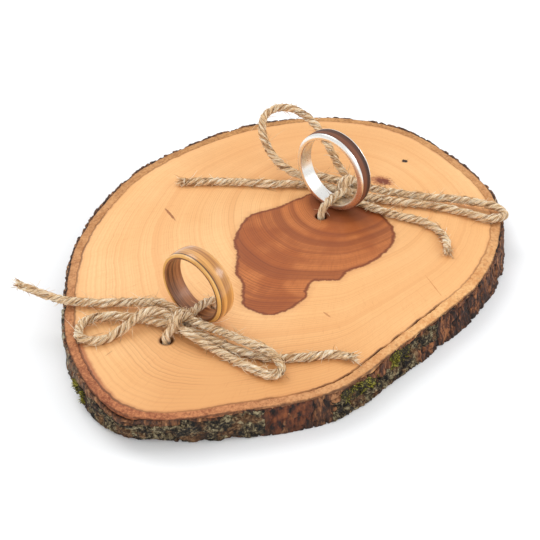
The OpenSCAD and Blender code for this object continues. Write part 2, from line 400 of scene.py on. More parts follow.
def make_long_grain():
    """Long wood grain that runs round a ring: noise on a space squeezed across the grain, in two widths."""
    tree, given, wanted = group(
        "long grain",
        [("Vector", "Vector", None), ("Lines", "Float", 3000.0), ("Light", "Color", colour(214, 164, 92)),
         ("Dark", "Color", colour(150, 98, 45))],
        [("Color", "Color"), ("Height", "Float")])
    turned = stretched(given["Vector"], (1, 1, 1), turn=(0, 0, -RING_TURN))
    squeezed = stretched(turned, (1, 0.035, 0.035))
    wide = noise(squeezed, given["Lines"] * 0.3, 2, 0.5)
    fine = noise(squeezed, given["Lines"], 3, 0.65)
    both = wide * 0.55 + fine * 0.45
    join(wanted["Color"], mix(fade(both, 0.36, 0.62), given["Dark"], given["Light"]))
    join(wanted["Height"], fine)
    return tree


def make_crumble():
    """Grains and larger patches for lichen, moss and bark: two noises give a tone from 0 to 1."""
    tree, given, wanted = group(
        "crumble", [("Vector", "Vector", None), ("Grains", "Float", 1500.0), ("Patches", "Float", 200.0)],
        [("Tone", "Float"), ("Height", "Float")])
    grains = noise(given["Vector"], given["Grains"], 3, 0.7)
    patches = noise(given["Vector"], given["Patches"], 3, 0.6)
    join(wanted["Tone"], fade(grains * 0.6 + patches * 0.4, 0.34, 0.66))
    join(wanted["Height"], grains)
    return tree


LONG_GRAIN = make_long_grain()
CRUMBLE = make_crumble()


def jute_material():
    """Jute: fibres along each ply, with painted shade that darkens the grooves between the plies, so that the
    plies read lighter where they stand out.
    """
    made, shader = material("jute", Roughness=0.88, Sheen_Weight=0.25, Sheen_Roughness=0.6)
    uv = put("ShaderNodeUVMap")
    across, run = put("ShaderNodeSeparateXYZ", {0: uv}, "X"), put("ShaderNodeSeparateXYZ", {0: uv}, "Y")
    inside = calc("ABSOLUTE", calc("MODULO", across, 4.0) - 2.0)
    lean = across + run * 0.35
    fibres = noise(vector(lean, run * 0.13), 2.7, 4, 0.68)
    patches = noise(object_place(), 260, 2)
    tone = fibres * 0.75 + patches * 0.25
    shade = ramp(tone, (0.34, (140, 100, 62)), (0.42, (206, 164, 116)), (0.51, (236, 206, 162)),
                 (0.6, (255, 244, 222)))
    # Painted shade: darker in the grooves between the plies
    shade = mix(fade(inside, 0.55, 1.0) * 0.62, shade, (120, 80, 46))
    feed(shader, Base_Color=shade, Normal=bump(fibres, 1.0, 0.0003))
    return made


JUTE = jute_material()


def fuzz_material():
    """Loose jute fibres, each with its own colour from brown to cream, and darker and lighter lengths."""
    made, shader = material("loose fibres", Roughness=0.75)
    tone = calc("ADD", attribute("tint"), (noise(object_place(), 700, 2) - 0.5) * 0.7, clamp=True)
    shade = ramp(tone, (0.0, (140, 96, 56)), (0.2, (198, 150, 100)), (0.55, (234, 200, 152)),
                 (0.9, (250, 234, 206)))
    feed(shader, Base_Color=shade)
    return made


FUZZ = fuzz_material()


# ---- Twines ----

def in_slice(ring, points):
    """Turns [along, across, height over the top face] in millimetres into the part's frame, in metres."""
    p = np.asarray(points, float)
    foot = np.array([*FEET[ring], SLICE_T])
    return (foot + p[:, :1] * ALONG + p[:, 1:2] * ACROSS + p[:, 2:] * UP) * MM


def lying(*points):
    """Route points whose third number is the clear height under the twine."""
    return [[a, b, h + TWINE_R] for a, b, h in points]


def knot_wraps(side, half_along, half_height, turns, start_turn, across_from, across_to):
    """Wraps round the twines that cross in the knot: along = A cos t, height = B sin t, and across
    runs evenly from one side of the knot to the other, with 14 points a turn. side is -1 for the front knot
    and 1 for the rear one."""
    t = np.linspace(0, 1, int(turns * 14) + 1)
    turn = start_turn + TAU * turns * t
    return np.stack([side * 7.1 + half_along * np.cos(turn), across_from + (across_to - across_from) * t,
                     TWINE_R + half_height + half_height * np.sin(turn)], -1).tolist()


def twine_radius(angle, ply_angle):
    """Radius of three plies laid together, each a circle of radius a whose middle is b off the axis:
    r = b cos d + sqrt(a^2 - b^2 sin^2 d), with d the angle from the nearest ply, and never under 0.64 of the
    twine's radius, because the fibres fill the grooves."""
    d = (angle - ply_angle + TAU / 6) % (TAU / 3) - TAU / 6
    a, b = 0.49 * TWINE_R, 0.54 * TWINE_R
    r = b * np.cos(d) + np.sqrt(np.maximum(a * a - (b * np.sin(d)) ** 2, 0))
    return np.maximum(r, 0.64 * TWINE_R)


def lay_twine(name, line, body, seed, replaces=(), thin_end=False):
    """A three-ply twine along a line in metres: round every point of the line a ring of 24 points at
    twine_radius, where the plies turn once every TWINE_LAY millimetres or so, now faster and now slower.
    The whole radius wanders, each ply swells and thins by itself, and small lumps stand out."""
    sides = 24
    _, side, up = carried_frames(line)
    run = distances(line) / MM
    step = np.arange(sides)
    share = run / run[-1]
    twist = -TAU * (run / TWINE_LAY + 0.45 * ripple(share, 0 * run, max(int(run[-1] / 9), 2), 1, seed + 3))
    angle = twist[:, None] + TAU * step / sides
    ply = (step + sides // 6) // (sides // 3) % 3
    swell = ripple(np.broadcast_to(ply / 3, angle.shape), np.broadcast_to(share[:, None], angle.shape), 3,
                   max(int(run[-1] / 2.5), 2), seed + 4)
    radius = twine_radius(angle, twist[:, None]) * (1 + 0.10 * swell)
    wander = 1 + 0.09 * ripple(share, 0 * run, max(int(run[-1] / 4), 2), 1, seed)
    taper = 0.55 + 0.45 * ease(run[-1] - run, 0, 1.5) if thin_end else 1.0
    rough = 1 + 0.10 * ripple(np.broadcast_to(step / sides, radius.shape), np.broadcast_to(
        share[:, None], radius.shape), 12, max(int(run[-1] / 1.8), 2), seed + 1)
    radius = radius * (wander * taper)[:, None] * rough * MM
    grid = (line[:, None] + radius[..., None] * (np.cos(angle)[..., None] * side[:, None]
            + np.sin(angle)[..., None] * up[:, None]))
    # Across each ply the first texture number runs from -1 to 1 round the ply's own middle, which is 4k + 2
    per_ply = sides // 3
    place = (step + per_ply / 2) % sides
    left = 4 * np.floor(place / per_ply) + 2 + (place % per_ply) / (per_ply / 2) - 1
    right = left + 2 / per_ply
    n = len(line)
    uv = np.zeros((n - 1, sides, 4, 2))
    uv[..., 0, 0] = uv[..., 3, 0] = left
    uv[..., 1, 0] = uv[..., 2, 0] = right
    uv[..., 0, 1] = uv[..., 1, 1] = run[:-1, None]
    uv[..., 2, 1] = uv[..., 3, 1] = run[1:, None]
    mesh = tube_mesh(name, grid, uv.reshape(-1, 4, 2))
    return link(name, mesh, body, JUTE, replaces)


def fibre_tubes(name, line, width, seed, floor=None):
    """Fine fibres: a three-sided tube along each line (fibres, points, 3), which thins to a quarter at its
    tip. None goes below floor. Each fibre keeps a number of its own from 0 to 1, tint, for its colour."""
    n, m, _ = line.shape
    t = np.linspace(0, 1, m)[None, :]
    tangent = unit(np.gradient(line, axis=1))
    side = unit(np.cross(tangent, np.array([0.21, 0.37, 0.9])))
    up = np.cross(tangent, side)
    turn = (TAU * np.arange(3) / 3)[None, None, :, None]
    thick = (width[:, None] * (1 - 0.75 * t ** 3))[..., None, None] / 2
    grid = line[:, :, None] + thick * (np.cos(turn) * side[:, :, None] + np.sin(turn) * up[:, :, None])
    if floor is not None:
        grid[..., 2] = np.maximum(grid[..., 2], floor)
    i, j = np.arange(m - 1)[:, None], np.arange(3)[None, :]
    k = (j + 1) % 3
    quads = np.stack([i * 3 + j, i * 3 + k, (i + 1) * 3 + k, (i + 1) * 3 + j], -1).reshape(-1, 4)
    last = 3 * (m - 1)
    triangles = np.concatenate([quads[:, :3], quads[:, [0, 2, 3]], [[0, 2, 1], [last, last + 1, last + 2]]])
    faces = (triangles[None] + 3 * m * np.arange(n)[:, None, None]).reshape(-1, 3)
    mesh = mesh_of(name, grid.reshape(-1, 3), faces)
    keep(mesh, "tint", np.repeat(np.random.default_rng(seed).uniform(0, 1, n), 3 * m))
    return mesh


def standing_fibres(base, aim, bend, length, points=6):
    """Lines that stand off a surface: p(t) = base + length (t aim + t^2 bend), t from 0 to 1."""
    t = np.linspace(0, 1, points)[None, :, None]
    return base[:, None] + length[:, None, None] * (t * aim[:, None] + t * t * bend[:, None])


def wrapped_fibres(rng, line, frames, count, points=6):
    """Lines that lie along a twine: from a random start they run on by 2 to 6 millimetres and turn with the
    plies, now tighter and now looser; the distance from the axis is R (0.86 + 0.24 sin(pi t) + lift t^4),
    and lift is large for the one in six whose tip comes loose."""
    _, side, up = frames
    t = np.linspace(0, 1, points)[None, :]
    long = rng.uniform(2.0, 6.0, (count, 1))
    start = rng.uniform(0, 1, (count, 1)) * (len(line) - 1) * TWINE_STEP / MM
    run = start + long * t * rng.choice([-1, 1], (count, 1))
    at = np.clip(run * MM / TWINE_STEP, 0, len(line) - 1.001)
    i = at.astype(int)
    f = (at - i)[..., None]
    carry = [a[i] * (1 - f) + a[i + 1] * f for a in (line, side, up)]
    turn = rng.uniform(0, TAU, (count, 1)) - TAU * run / TWINE_LAY * rng.uniform(0.5, 1.35, (count, 1))
    lift = np.where(rng.uniform(0, 1, (count, 1)) < 1 / 6, rng.uniform(0.4, 1.6, (count, 1)), 0)
    far = TWINE_R * MM * (0.86 + rng.uniform(0.10, 0.30, (count, 1)) * np.sin(np.pi * t) + lift * t ** 4)
    return carry[0] + far[..., None] * (np.cos(turn)[..., None] * carry[1] + np.sin(turn)[..., None] * carry[2])


def twine_fuzz(name, lines, body, seed, floor=None, per_mm=5.0, whiskers=4.4):
    """The loose surface of twines: fibres that lie along the plies, and whiskers that stand off them."""
    rng = np.random.default_rng(seed)
    tubes, widths = [], []
    for line in lines:
        frames = carried_frames(line)
        tangent, side, up = frames
        run = steps(line).sum() / MM
        lying_down = int(run * per_mm)
        tubes.append(wrapped_fibres(rng, line, frames, lying_down))
        widths.append(rng.uniform(0.14, 0.34, lying_down) * MM)
        n = int(run * whiskers)
        k = rng.integers(0, len(line), n)
        turn = rng.uniform(0, TAU, n)[:, None]
        out = np.cos(turn) * side[k] + np.sin(turn) * up[k]
        round_it = -np.sin(turn) * side[k] + np.cos(turn) * up[k]
        heading = rng.choice([-1, 1], (n, 1)) * tangent[k]
        aim = unit(out * rng.uniform(0.2, 1.0, (n, 1)) + heading * rng.uniform(0.4, 1.3, (n, 1))
                   + round_it * rng.uniform(-0.6, 0.6, (n, 1)))
        length = rng.gamma(1.7, 0.82, n).clip(0.5, 7) * MM
        bend = rng.normal(0, 0.3, (n, 3))
        tubes.append(standing_fibres(line[k] + out * 0.8 * TWINE_R * MM, aim, bend, length))
        widths.append(rng.uniform(0.08, 0.17, n) * MM)
    mesh = fibre_tubes(name, np.concatenate(tubes), np.concatenate(widths), seed + 1, floor)
    return link(name, mesh, body, FUZZ)


def frayed_end(name, line, body, seed, count=46, length=3.2, spread=0.34, floor=None):
    """The loose fibres of a cut end: they start over the end's section and fan out along it."""
    rng = np.random.default_rng(seed)
    tangent, side, up = carried_frames(line)
    r = np.sqrt(rng.uniform(0, 1, count)) * 0.75 * TWINE_R * MM
    turn = rng.uniform(0, TAU, count)
    out = np.cos(turn)[:, None] * side[-1] + np.sin(turn)[:, None] * up[-1]
    base = line[-1] + r[:, None] * out - tangent[-1] * 0.6 * MM
    aim = unit(tangent[-1] + out * rng.uniform(0, spread, (count, 1)) + rng.normal(0, 0.10, (count, 3)))
    bend = rng.normal(0, 0.16, (count, 3))
    lengths = rng.uniform(0.35, 1.0, count) * length * MM
    width = rng.uniform(0.14, 0.3, count) * MM
    mesh = fibre_tubes(name, standing_fibres(base, aim, bend, lengths), width, seed + 1, floor)
    return link(name, mesh, body, FUZZ)


def tie_height(wall):
    """Height of the strand's middle over the top face, where it crosses a band with this wall."""
    return RING_GAP + wall + 0.35 + TWINE_R


def hole_strand(side, shift):
    """Under the slice from the ring's hole to the far one, up through it and into the knot."""
    low = 0.35 + TWINE_R - SLICE_T
    d = -side
    return [[d * 6.4, shift, -2.3], [d * 6.1, shift, low + 2.4], [d * 4, shift, low], [-d * 0.5, shift, low],
            [-d * 5, shift, low], [-d * 9.7, shift, low], [-d * 11.8, shift, low + 2.4], [-d * 12.1, shift, 0],
            [-d * 11.3, shift, 2.05], [-d * 9.5, 0, 2.65]]


# The routes: each bow is one real twine, declared in two runs that meet inside its knot
front_first = hole_strand(-1, 0) + [[-8.2, -0.5, 2.9]] + lying(
    [-8.7, -KNOT_FACE, 1.9], [-8.7, -7, 1.4], [-7.7, -14.5, 0.4], [-6.9, -22, 0.1], [-5.8, -29.2, 0.2],
    [-2.8, -30.6, 1.2], [-1.4, -25.5, 2.6], [-2.9, -17, 2.9], [-4.5, -9, 3], [-5.5, -KNOT_FACE, 2.7],
    [-6, 0, 2.6], [-5.2, KNOT_FACE, 1.9], [-4.8, 8.5, 1.9], [-9, 16, 0.8], [-15, 23.5, 0.3], [-20.5, 31, 1],
    [-25, 40.5, 3.3])
front_second = [[-6.4, -1.2, 3.0]] + knot_wraps(-1, 2.55, 2.15, 2, -0.6, -1.5, 1.0) + lying(
    [-9.0, KNOT_FACE + 0.9, 0.9], [-11, 9, 0.05], [-16, 16, 0.7], [-22, 19.5, 0.7], [-26.7, 16.5, 0.2],
    [-24, 11.5, 0.1], [-18, 10, 0.7], [-11.7, 9, 2.5], [-8, 6.5, 2.4], [-7.2, KNOT_FACE, 1.8], [-7.1, 0, 0.9],
    [-7, -KNOT_FACE, 0.5], [-6, -8.5, 0.7], [-4.2, -17, 0.2], [-0.8, -25.2, 0.05], [5, -31.2, 0.05],
    [10.3, -35.6, 0.05], [12.4, -40.2, 0.3])
rear_first = hole_strand(1, -1) + [[9.0, -1.2, 3.2]] + lying(
    [9.3, -KNOT_FACE - 0.6, 2.2], [12.3, -9, 1.8], [17.9, -18, 0.9], [23.5, -27, 1], [27.4, -37, 1.2],
    [26, -41.8, 0.8], [22.6, -39, 0.3], [20.3, -30.5, 0.1], [16.7, -21.5, 0.1], [11.6, -13, 0.3],
    [8.3, -6.5, 0.5], [7.2, -KNOT_FACE, 0.8], [6.4, 0, 0.6], [5.4, KNOT_FACE, 0.3], [4.6, 7.5, 0.1],
    [0.8, 13, 0.2], [-4, 18.8, 0.05], [-9.5, 26.5, 0.05], [-15.5, 34, 0.05], [-20.7, 39.5, 0.05])
rear_second = [[6.6, -1.2, 3.0]] + knot_wraps(1, 2.55, 2.15, 2, np.pi + 0.6, -1.4, 1.1) + lying(
    [7.3, KNOT_FACE + 0.6, 2.2], [6, 9, 1.8], [2.6, 16, 1.6], [0.8, 23, 5.2], [2.6, 29.3, 10.8], [8, 31.8, 14],
    [13.4, 27.8, 14.6], [15.2, 20.5, 12], [13.2, 12.7, 8], [10.8, 7, 4.8], [9.0, KNOT_FACE, 3], [6.6, 0, 2.0],
    [5.2, -KNOT_FACE, 0.3], [5.3, -9, 0.05], [6.6, -17, 0.05], [9.2, -26, 0.05], [7.6, -33.4, 0.05],
    [2.5, -38.6, 0.05])


def tie_points(side, wall, shift):
    """Out of the hole, over the ring's band and into the knot on the other side of it."""
    h = tie_height(wall)
    d = -side
    return [[d * 6.4, shift, -4.2], [d * 6.4, shift, -0.8], [d * 6.2, shift, 0.3 * h], [d * 4.9, shift, 0.8 * h],
            [d * 2.4, shift, h], [-d * 3.3, shift, h], [-d * 4.6, shift * 0.6, h - 0.1]]


TWINE_STEP = 0.33 * MM
WOOD_TOP = (SLICE_T + 0.06) * MM


def tie_up(ring, side, shift, first, second, first_nodes, second_nodes, seed):
    """Both runs of a ring's twine, the strand that holds the ring down, loose fibres and frayed ends."""
    one = smooth_path(in_slice(ring, first), TWINE_STEP)
    two = smooth_path(in_slice(ring, second), TWINE_STEP)
    tie = smooth_path(in_slice(ring, tie_points(side, WALLS[ring], shift)), TWINE_STEP)
    first_run = lay_twine(ring + "_twine_to_left_tail", one, "root", seed, first_nodes, thin_end=True)
    second_run = lay_twine(ring + "_twine_to_right_tail", two, "root", seed + 10, second_nodes, thin_end=True)
    strand = lay_twine(ring + "_tie_strand", tie, ring + "_tie", seed + 20, (ring + "_tie",))
    above = one[int(30 * MM / TWINE_STEP):]
    fuzz = twine_fuzz(ring + "_twine_fuzz", [above, two], "root", seed + 30, floor=WOOD_TOP)
    tie_fuzz = twine_fuzz(ring + "_tie_fuzz", [tie[len(tie) // 3:]], ring + "_tie", seed + 40, WOOD_TOP)
    left_end = frayed_end(ring + "_left_frayed_end", one, "root", seed + 50)
    right_end = frayed_end(ring + "_right_frayed_end", two, "root", seed + 60, floor=WOOD_TOP)


tie_up("front", -1, 0, front_first, front_second,
       ("front_under", "front_right_loop", "front_left_tail"),
       ("front_knot", "front_left_loop", "front_right_tail"), 100)
tie_up("rear", 1, -1, rear_first, rear_second,
       ("rear_under", "rear_right_loop", "rear_left_tail"),
       ("rear_knot", "rear_raised_loop", "rear_right_tail"), 200)


# ---- Outline of the slice ----

def raw_rim(s):
    """The curve through RIM_RADII at share s of a turn, before it is fitted to the slice's size."""
    r = through(RIM_RADII, s * len(RIM_RADII), closed=True)
    return r[..., None] * np.stack([np.cos(TAU * s), np.sin(TAU * s)], -1)


RAW = raw_rim(np.arange(144) / 144)
RAW_LOW, RAW_HIGH = RAW.min(0), RAW.max(0)


def rim(s):
    """The outline at share s of a turn: the raw curve, centred and fitted to the slice's width and depth."""
    return (raw_rim(s) - (RAW_LOW + RAW_HIGH) / 2) * np.array([SLICE_W, SLICE_D]) / (RAW_HIGH - RAW_LOW)


def inset(s, depth):
    """The outline moved inwards by depth, in millimetres."""
    d = rim(s + 1e-4) - rim(s - 1e-4)
    return rim(s) + depth[..., None] * unit(np.stack([-d[..., 1], d[..., 0]], -1))


def bearing(s):
    """Angle of the outline's point from +X, in degrees from -180 to 180."""
    p = rim(s)
    return np.degrees(np.arctan2(p[..., 1], p[..., 0]))


def hill(x, middle, width):
    """exp(-((x - middle) / width)^2), for angles in degrees."""
    d = (x - middle + 180) % 360 - 180
    return np.exp(-(d / width) ** 2)


def bark_width(s):
    """How far in the wood begins: 3.2 mm, less at the front, more at the right, with a ragged edge."""
    a = bearing(s)
    wide = BARK_T - 0.45 * hill(a, -100, 45) + 0.25 * hill(a, 20, 40) + 0.3 * hill(a, 130, 40)
    return wide + 0.16 * ripple(s, 0 * s, 190, 1, 5) + 0.10 * ripple(s, 0 * s, 520, 1, 6)


def crack_depth(s):
    """The gap between wood and bark: open along the right front, finer to the left, and closed elsewhere."""
    a = bearing(s)
    uneven = 0.55 + 0.45 * ripple(s, 0 * s, 110, 1, 7)
    return uneven * (0.8 * ease(a, -108, -80) * (1 - ease(a, -42, -30)) + 0.2 * hill(a, -150, 30))


def dark_line(s):
    """How dark the border between wood and bark is: nearly black along the crack, which is painted shade in the
    gap, brown to the left, faint at the right and the back. Away from the crack it is the wood's own dark border
    line."""
    a = bearing(s)
    return np.clip(0.10 + 0.8 * crack_depth(s) + 0.34 * hill(a, -130, 26) + 0.24 * hill(a, 178, 26)
                   + 0.22 * ripple(s, 0 * s, 60, 1, 8), 0.03, 1)


def stain(s):
    """How far a brown stain runs from the bark into the wood: broad at the front left corner."""
    a = bearing(s)
    return np.clip(0.95 * hill(a, -138, 14) + 0.35 * hill(a, -112, 22) + 0.25 * hill(a, 178, 30)
                   + 0.25 * hill(a, 60, 50) + 0.15 * ripple(s, 0 * s, 40, 1, 9), 0, 1)


def foot_shift(s, low):
    """How far the bark's face lies inside the outline near its foot: it spreads 1 to 1.7 mm outwards along the
    right front and is undercut 2.7 mm at the front left corner. low is 0 at the top edge and 1 at the foot."""
    a = bearing(s)
    spread = -0.9 * ease(a, -104, -92) * (1 - ease(a, 5, 30)) - 0.5 * hill(a, 0, 14) - 0.8 * hill(a, -42, 26)
    return (spread + 2.8 * hill(a, -115, 8)) * low ** 1.4


# ---- The slice ----

HEART = [(2.9, 22.9), (-4.2, 17.8), (-10.6, 14.8), (-14, 9.2), (-15.5, 1.9), (-14.7, -4.6), (-14.8, -12.1),
         (-13, -18.2), (-12.7, -26.1), (-7.8, -29.4), (-4.3, -29.8), (1, -26.1), (3.4, -23.2), (5.7, -16),
         (12.7, -15.6), (14.8, -12.1), (20.1, -9), (24.5, -5.2), (28.7, 1.9), (28.8, 7.5), (27.6, 11.9),
         (25.5, 15.8), (21, 21), (16, 25), (10, 26.5)]


def hole_places():
    """The middles of the four holes: in front of and behind each ring, on its axis."""
    places = []
    for ring, near, far, shift in (("front", 6.4, -12.1, 0), ("rear", -6.4, 12.1, -1)):
        places += [FEET[ring] + x * ALONG[:2] + shift * ACROSS[:2] for x in (near, far)]
    return np.array(places)


def distance_to(points, others):
    """Distance from each point to the nearest of the others, worked out in blocks."""
    blocks = [np.sqrt(((b[:, None] - others[None]) ** 2).sum(-1).min(1))
              for b in np.array_split(points, max(len(points) // 4000, 1))]
    return np.concatenate(blocks)


def inside(points, corners):
    """True where a ray to +X crosses the closed outline an odd number of times."""
    a, b = corners, np.roll(corners, -1, axis=0)
    x, y = points[:, :1], points[:, 1:]
    crosses = (a[:, 1] > y) != (b[:, 1] > y)
    at = a[:, 0] + (y - a[:, 1]) * (b[:, 0] - a[:, 0]) / (b[:, 1] - a[:, 1] + 1e-12)
    return (crosses & (x < at)).sum(1) % 2 == 1


def slice_marks(mesh):
    """Gives each vertex what the wood's colours need, in millimetres: ring, the distance from the pith
    scaled so that the rings follow the outline; heart, how far inside the dark heart it lies; edge, how far
    inside the bark; bore, how far from a hole's wall; and ray, the direction from the pith."""
    co = np.zeros(len(mesh.vertices) * 3, np.float32)
    mesh.vertices.foreach_get("co", co)
    p = co.reshape(-1, 3)[:, :2].astype(float) / MM
    s = np.arange(1440) / 1440
    edge = inset(s, bark_width(s))
    away = p - PITH
    r = np.linalg.norm(away, axis=1)
    turn = np.arctan2(away[:, 1], away[:, 0])
    edge_turn = np.arctan2(*(edge - PITH).T[::-1])
    order = np.argsort(edge_turn)
    reach = np.interp(turn, edge_turn[order], np.linalg.norm(edge - PITH, axis=1)[order], period=TAU)
    share = np.clip(r / reach, 0, 1)
    smooth_reach = 62 * (1 - share) + reach * share
    t = np.linspace(0, len(HEART), 300, endpoint=False)
    line = through(HEART, t, closed=True)
    away_heart = distance_to(p, line)
    marks = {"ring": 70 * r / smooth_reach, "heart": np.where(inside(p, line), away_heart, -away_heart),
             "edge": distance_to(p, edge), "bore": distance_to(p, hole_places()) - HOLE_R,
             "crack": np.interp(turn, edge_turn[order], dark_line(s)[order], period=TAU),
             # This mark is painted shade: the top face darker towards the front, and a little towards the back,
             # where the light falls off
             "painted_shade": ease(-p[:, 1], 24, 62) * (0.55 + 0.45 * ease(-p[:, 0], -40, 10))
             * (1 - 0.7 * ease(-p[:, 0], 28, 46)) + 0.4 * ease(p[:, 1], 28, 64),
             "stain": np.interp(turn, edge_turn[order], stain(s)[order], period=TAU)}
    for name, values in marks.items():
        keep(mesh, name, values)
    ray = np.concatenate([unit(away), np.zeros((len(p), 1))], 1)
    rays = mesh.attributes.new("ray", "FLOAT_VECTOR", "POINT")
    rays.data.foreach_set("vector", ray.astype(np.float32).ravel())


# Blemishes of the top face: x and y, turn, half width and height, depth of the tint, and the tint
WOOD_MARKS = (
    (27.4, 31.9, -0.5, 3.9, 2.7, 0.7, (150, 74, 46)), (27.8, 31.6, -0.5, 2.6, 1.7, 0.8, (104, 34, 22)),
    (35.2, 42.5, 0.5, 1.15, 0.95, 1.0, (40, 18, 10)), (3.1, 65.2, 0.0, 0.9, 0.5, 0.8, (96, 50, 24)),
    (-34.3, 14.6, -1.07, 3.8, 0.45, 0.8, (142, 78, 38)), (-50, -38, 0.4, 2.4, 0.2, 0.45, (150, 88, 46)),
    (-46, -45, 0.9, 1.4, 0.2, 0.4, (150, 88, 46)), (37.9, -18.3, -1.2, 5.2, 0.16, 0.6, (190, 110, 50)),
    (9, -30, -0.9, 1.6, 0.3, 0.6, (172, 104, 58)))


def wood_material():
    """End grain: annual rings, rays from the pith, a dark heart with a darker outline, and a few blemishes, with
    painted shade towards the front and the back of the top face, along the crack by the bark and in the holes.
    """
    made, shader = material("end grain", Roughness=0.55, Specular_IOR_Level=0.3)
    place = object_place()
    ring, heart, edge = attribute("ring"), attribute("heart"), attribute("edge")
    ray, painted_shade = attribute("ray", "Vector"), attribute("painted_shade")
    slow = noise(place, 28, 2)
    grown = ring + (noise(place, 42, 1.5) - 0.5) * 2.4
    count = grown * 1.75 + noise(vector(grown * 0.055), 1.0, 2) * 10.0
    tooth = calc("FRACT", count)
    late = calc("POWER", tooth, 4.0) * (1.0 - fade(tooth, 0.95, 1.0))
    bands = noise(vector(grown * 0.16), 1.0, 3, 0.6)
    year = put("ShaderNodeTexWhiteNoise", {"W": calc("FLOOR", count)}, "Value", noise_dimensions="1D")
    lines = late * (0.25 + year * 0.75)
    patchy = fade(noise(place, 38, 2), 0.26, 0.52)
    fine_ring = noise(vector(grown * 1.6), 1.0, 4, 0.7)
    spread = put("ShaderNodeVectorMath", {0: ray, 1: (260.0, 260.0, 0.0)}, operation="MULTIPLY")
    flecks = noise(put("ShaderNodeVectorMath", {0: spread, 1: vector(z=ring * 0.45)}, operation="ADD"),
                   1.0, 2, 0.6)
    rays = noise(put("ShaderNodeVectorMath", {0: ray, 1: vector(z=ring * 0.004)}, operation="ADD"), 60, 4, 0.7)
    sap = mix(fade(slow, 0.34, 0.66), (246, 194, 134), (240, 183, 121))
    # Painted shade: the first tint below, and the extra darkness of the year lines in the last, darken the top
    # face towards the front and the back, where the light falls off
    for share, tint in ((painted_shade * 0.8, (216, 152, 90)),
                        (fade(bands, 0.42, 0.66) * 0.42, (222, 156, 96)),
                        (fade(rays, 0.44, 0.68) * 0.15, (222, 158, 98)),
                        (fade(flecks, 0.58, 0.72) * 0.30, (206, 138, 82)),
                        (fade(fine_ring, 0.46, 0.66) * 0.40, (217, 152, 94)),
                        (lines * patchy * (0.46 + painted_shade * 0.24), (172, 104, 56))):
        sap = mix(share, sap, tint)
    dark = mix(fade(noise(place, 60, 3, 0.5), 0.41, 0.59), (174, 92, 40), (204, 121, 62))
    for share, tint in ((fade(bands, 0.43, 0.57) * 0.75, (146, 74, 36)),
                        (fade(rays, 0.42, 0.66) * 0.22, (140, 72, 36)),
                        (fade(fine_ring, 0.40, 0.64) * 0.3, (140, 76, 40)),
                        (lines * 0.9, (98, 48, 24)),
                        (fade(ring, 17.0, 2.0), (116, 58, 30))):
        dark = mix(share, dark, tint)
    ragged = heart + (noise(place, 420, 3, 0.6) - 0.5) * 2.0
    shade = mix(fade(ragged, -0.15, 0.25), sap, dark)
    outline = (1.0 - fade(calc("ABSOLUTE", ragged - 0.15), 0.16, 0.72)) * 0.92
    halo = (1.0 - fade(calc("ABSOLUTE", ragged), 0.3, 2.2)) * 0.18
    shade = mix(halo, mix(outline, shade, (112, 50, 24)), (170, 98, 54))
    for x, y, turn, wide, high, deep, tint in WOOD_MARKS:
        here = stretched(place, (1 / MM, 1 / MM, 0), shift=(-x, -y, 0))
        here = put("ShaderNodeVectorRotate", {"Vector": here, "Angle": -turn}, rotation_type="Z_AXIS")
        here = stretched(here, (1 / wide, 1 / high, 1))
        spot = put("ShaderNodeVectorMath", {0: here}, "Value", operation="LENGTH")
        rough = spot + (noise(place, 1500, 3, 0.7) - 0.5) * 1.6
        shade = mix(fade(rough, 1.1, 0.6) * deep, shade, tint)
    near_bark = edge + noise(place, 900, 3, 0.7) * -0.55
    open_gap, stained = attribute("crack"), attribute("stain")
    smear = fade(near_bark - stained * 1.1, 0.5, -0.5) * stained
    shade = mix(smear * 0.75, shade, (158, 78, 44))
    # The border: a dark line of the wood's own, made nearly black along the crack by painted shade in the gap
    border = fade(near_bark - (0.02 + open_gap * 0.26), 0.20, -0.1) * calc("ADD", 0.15, open_gap, clamp=True)
    shade = mix(border, shade, (84, 42, 20))
    # Painted shade in the holes: darker on their walls and just round their rims
    shade = mix(fade(attribute("bore"), 0.7, 0.0) * 0.65, shade, (110, 62, 32))
    feed(shader, Base_Color=shade, Roughness=0.40 + slow * 0.25,
         Normal=bump(rays * 0.6 + fine_ring * 0.4, 0.28, 0.00010))
    return made


def cutter(shape_points, low, high):
    """An upright prism over a closed outline, in millimetres, as an object to cut with."""
    p = np.asarray(shape_points)
    grid = np.stack([np.concatenate([p, np.full((len(p), 1), z)], 1) for z in (low, high)]) * MM
    return add_object("cutter", tube_mesh("cutter", grid))


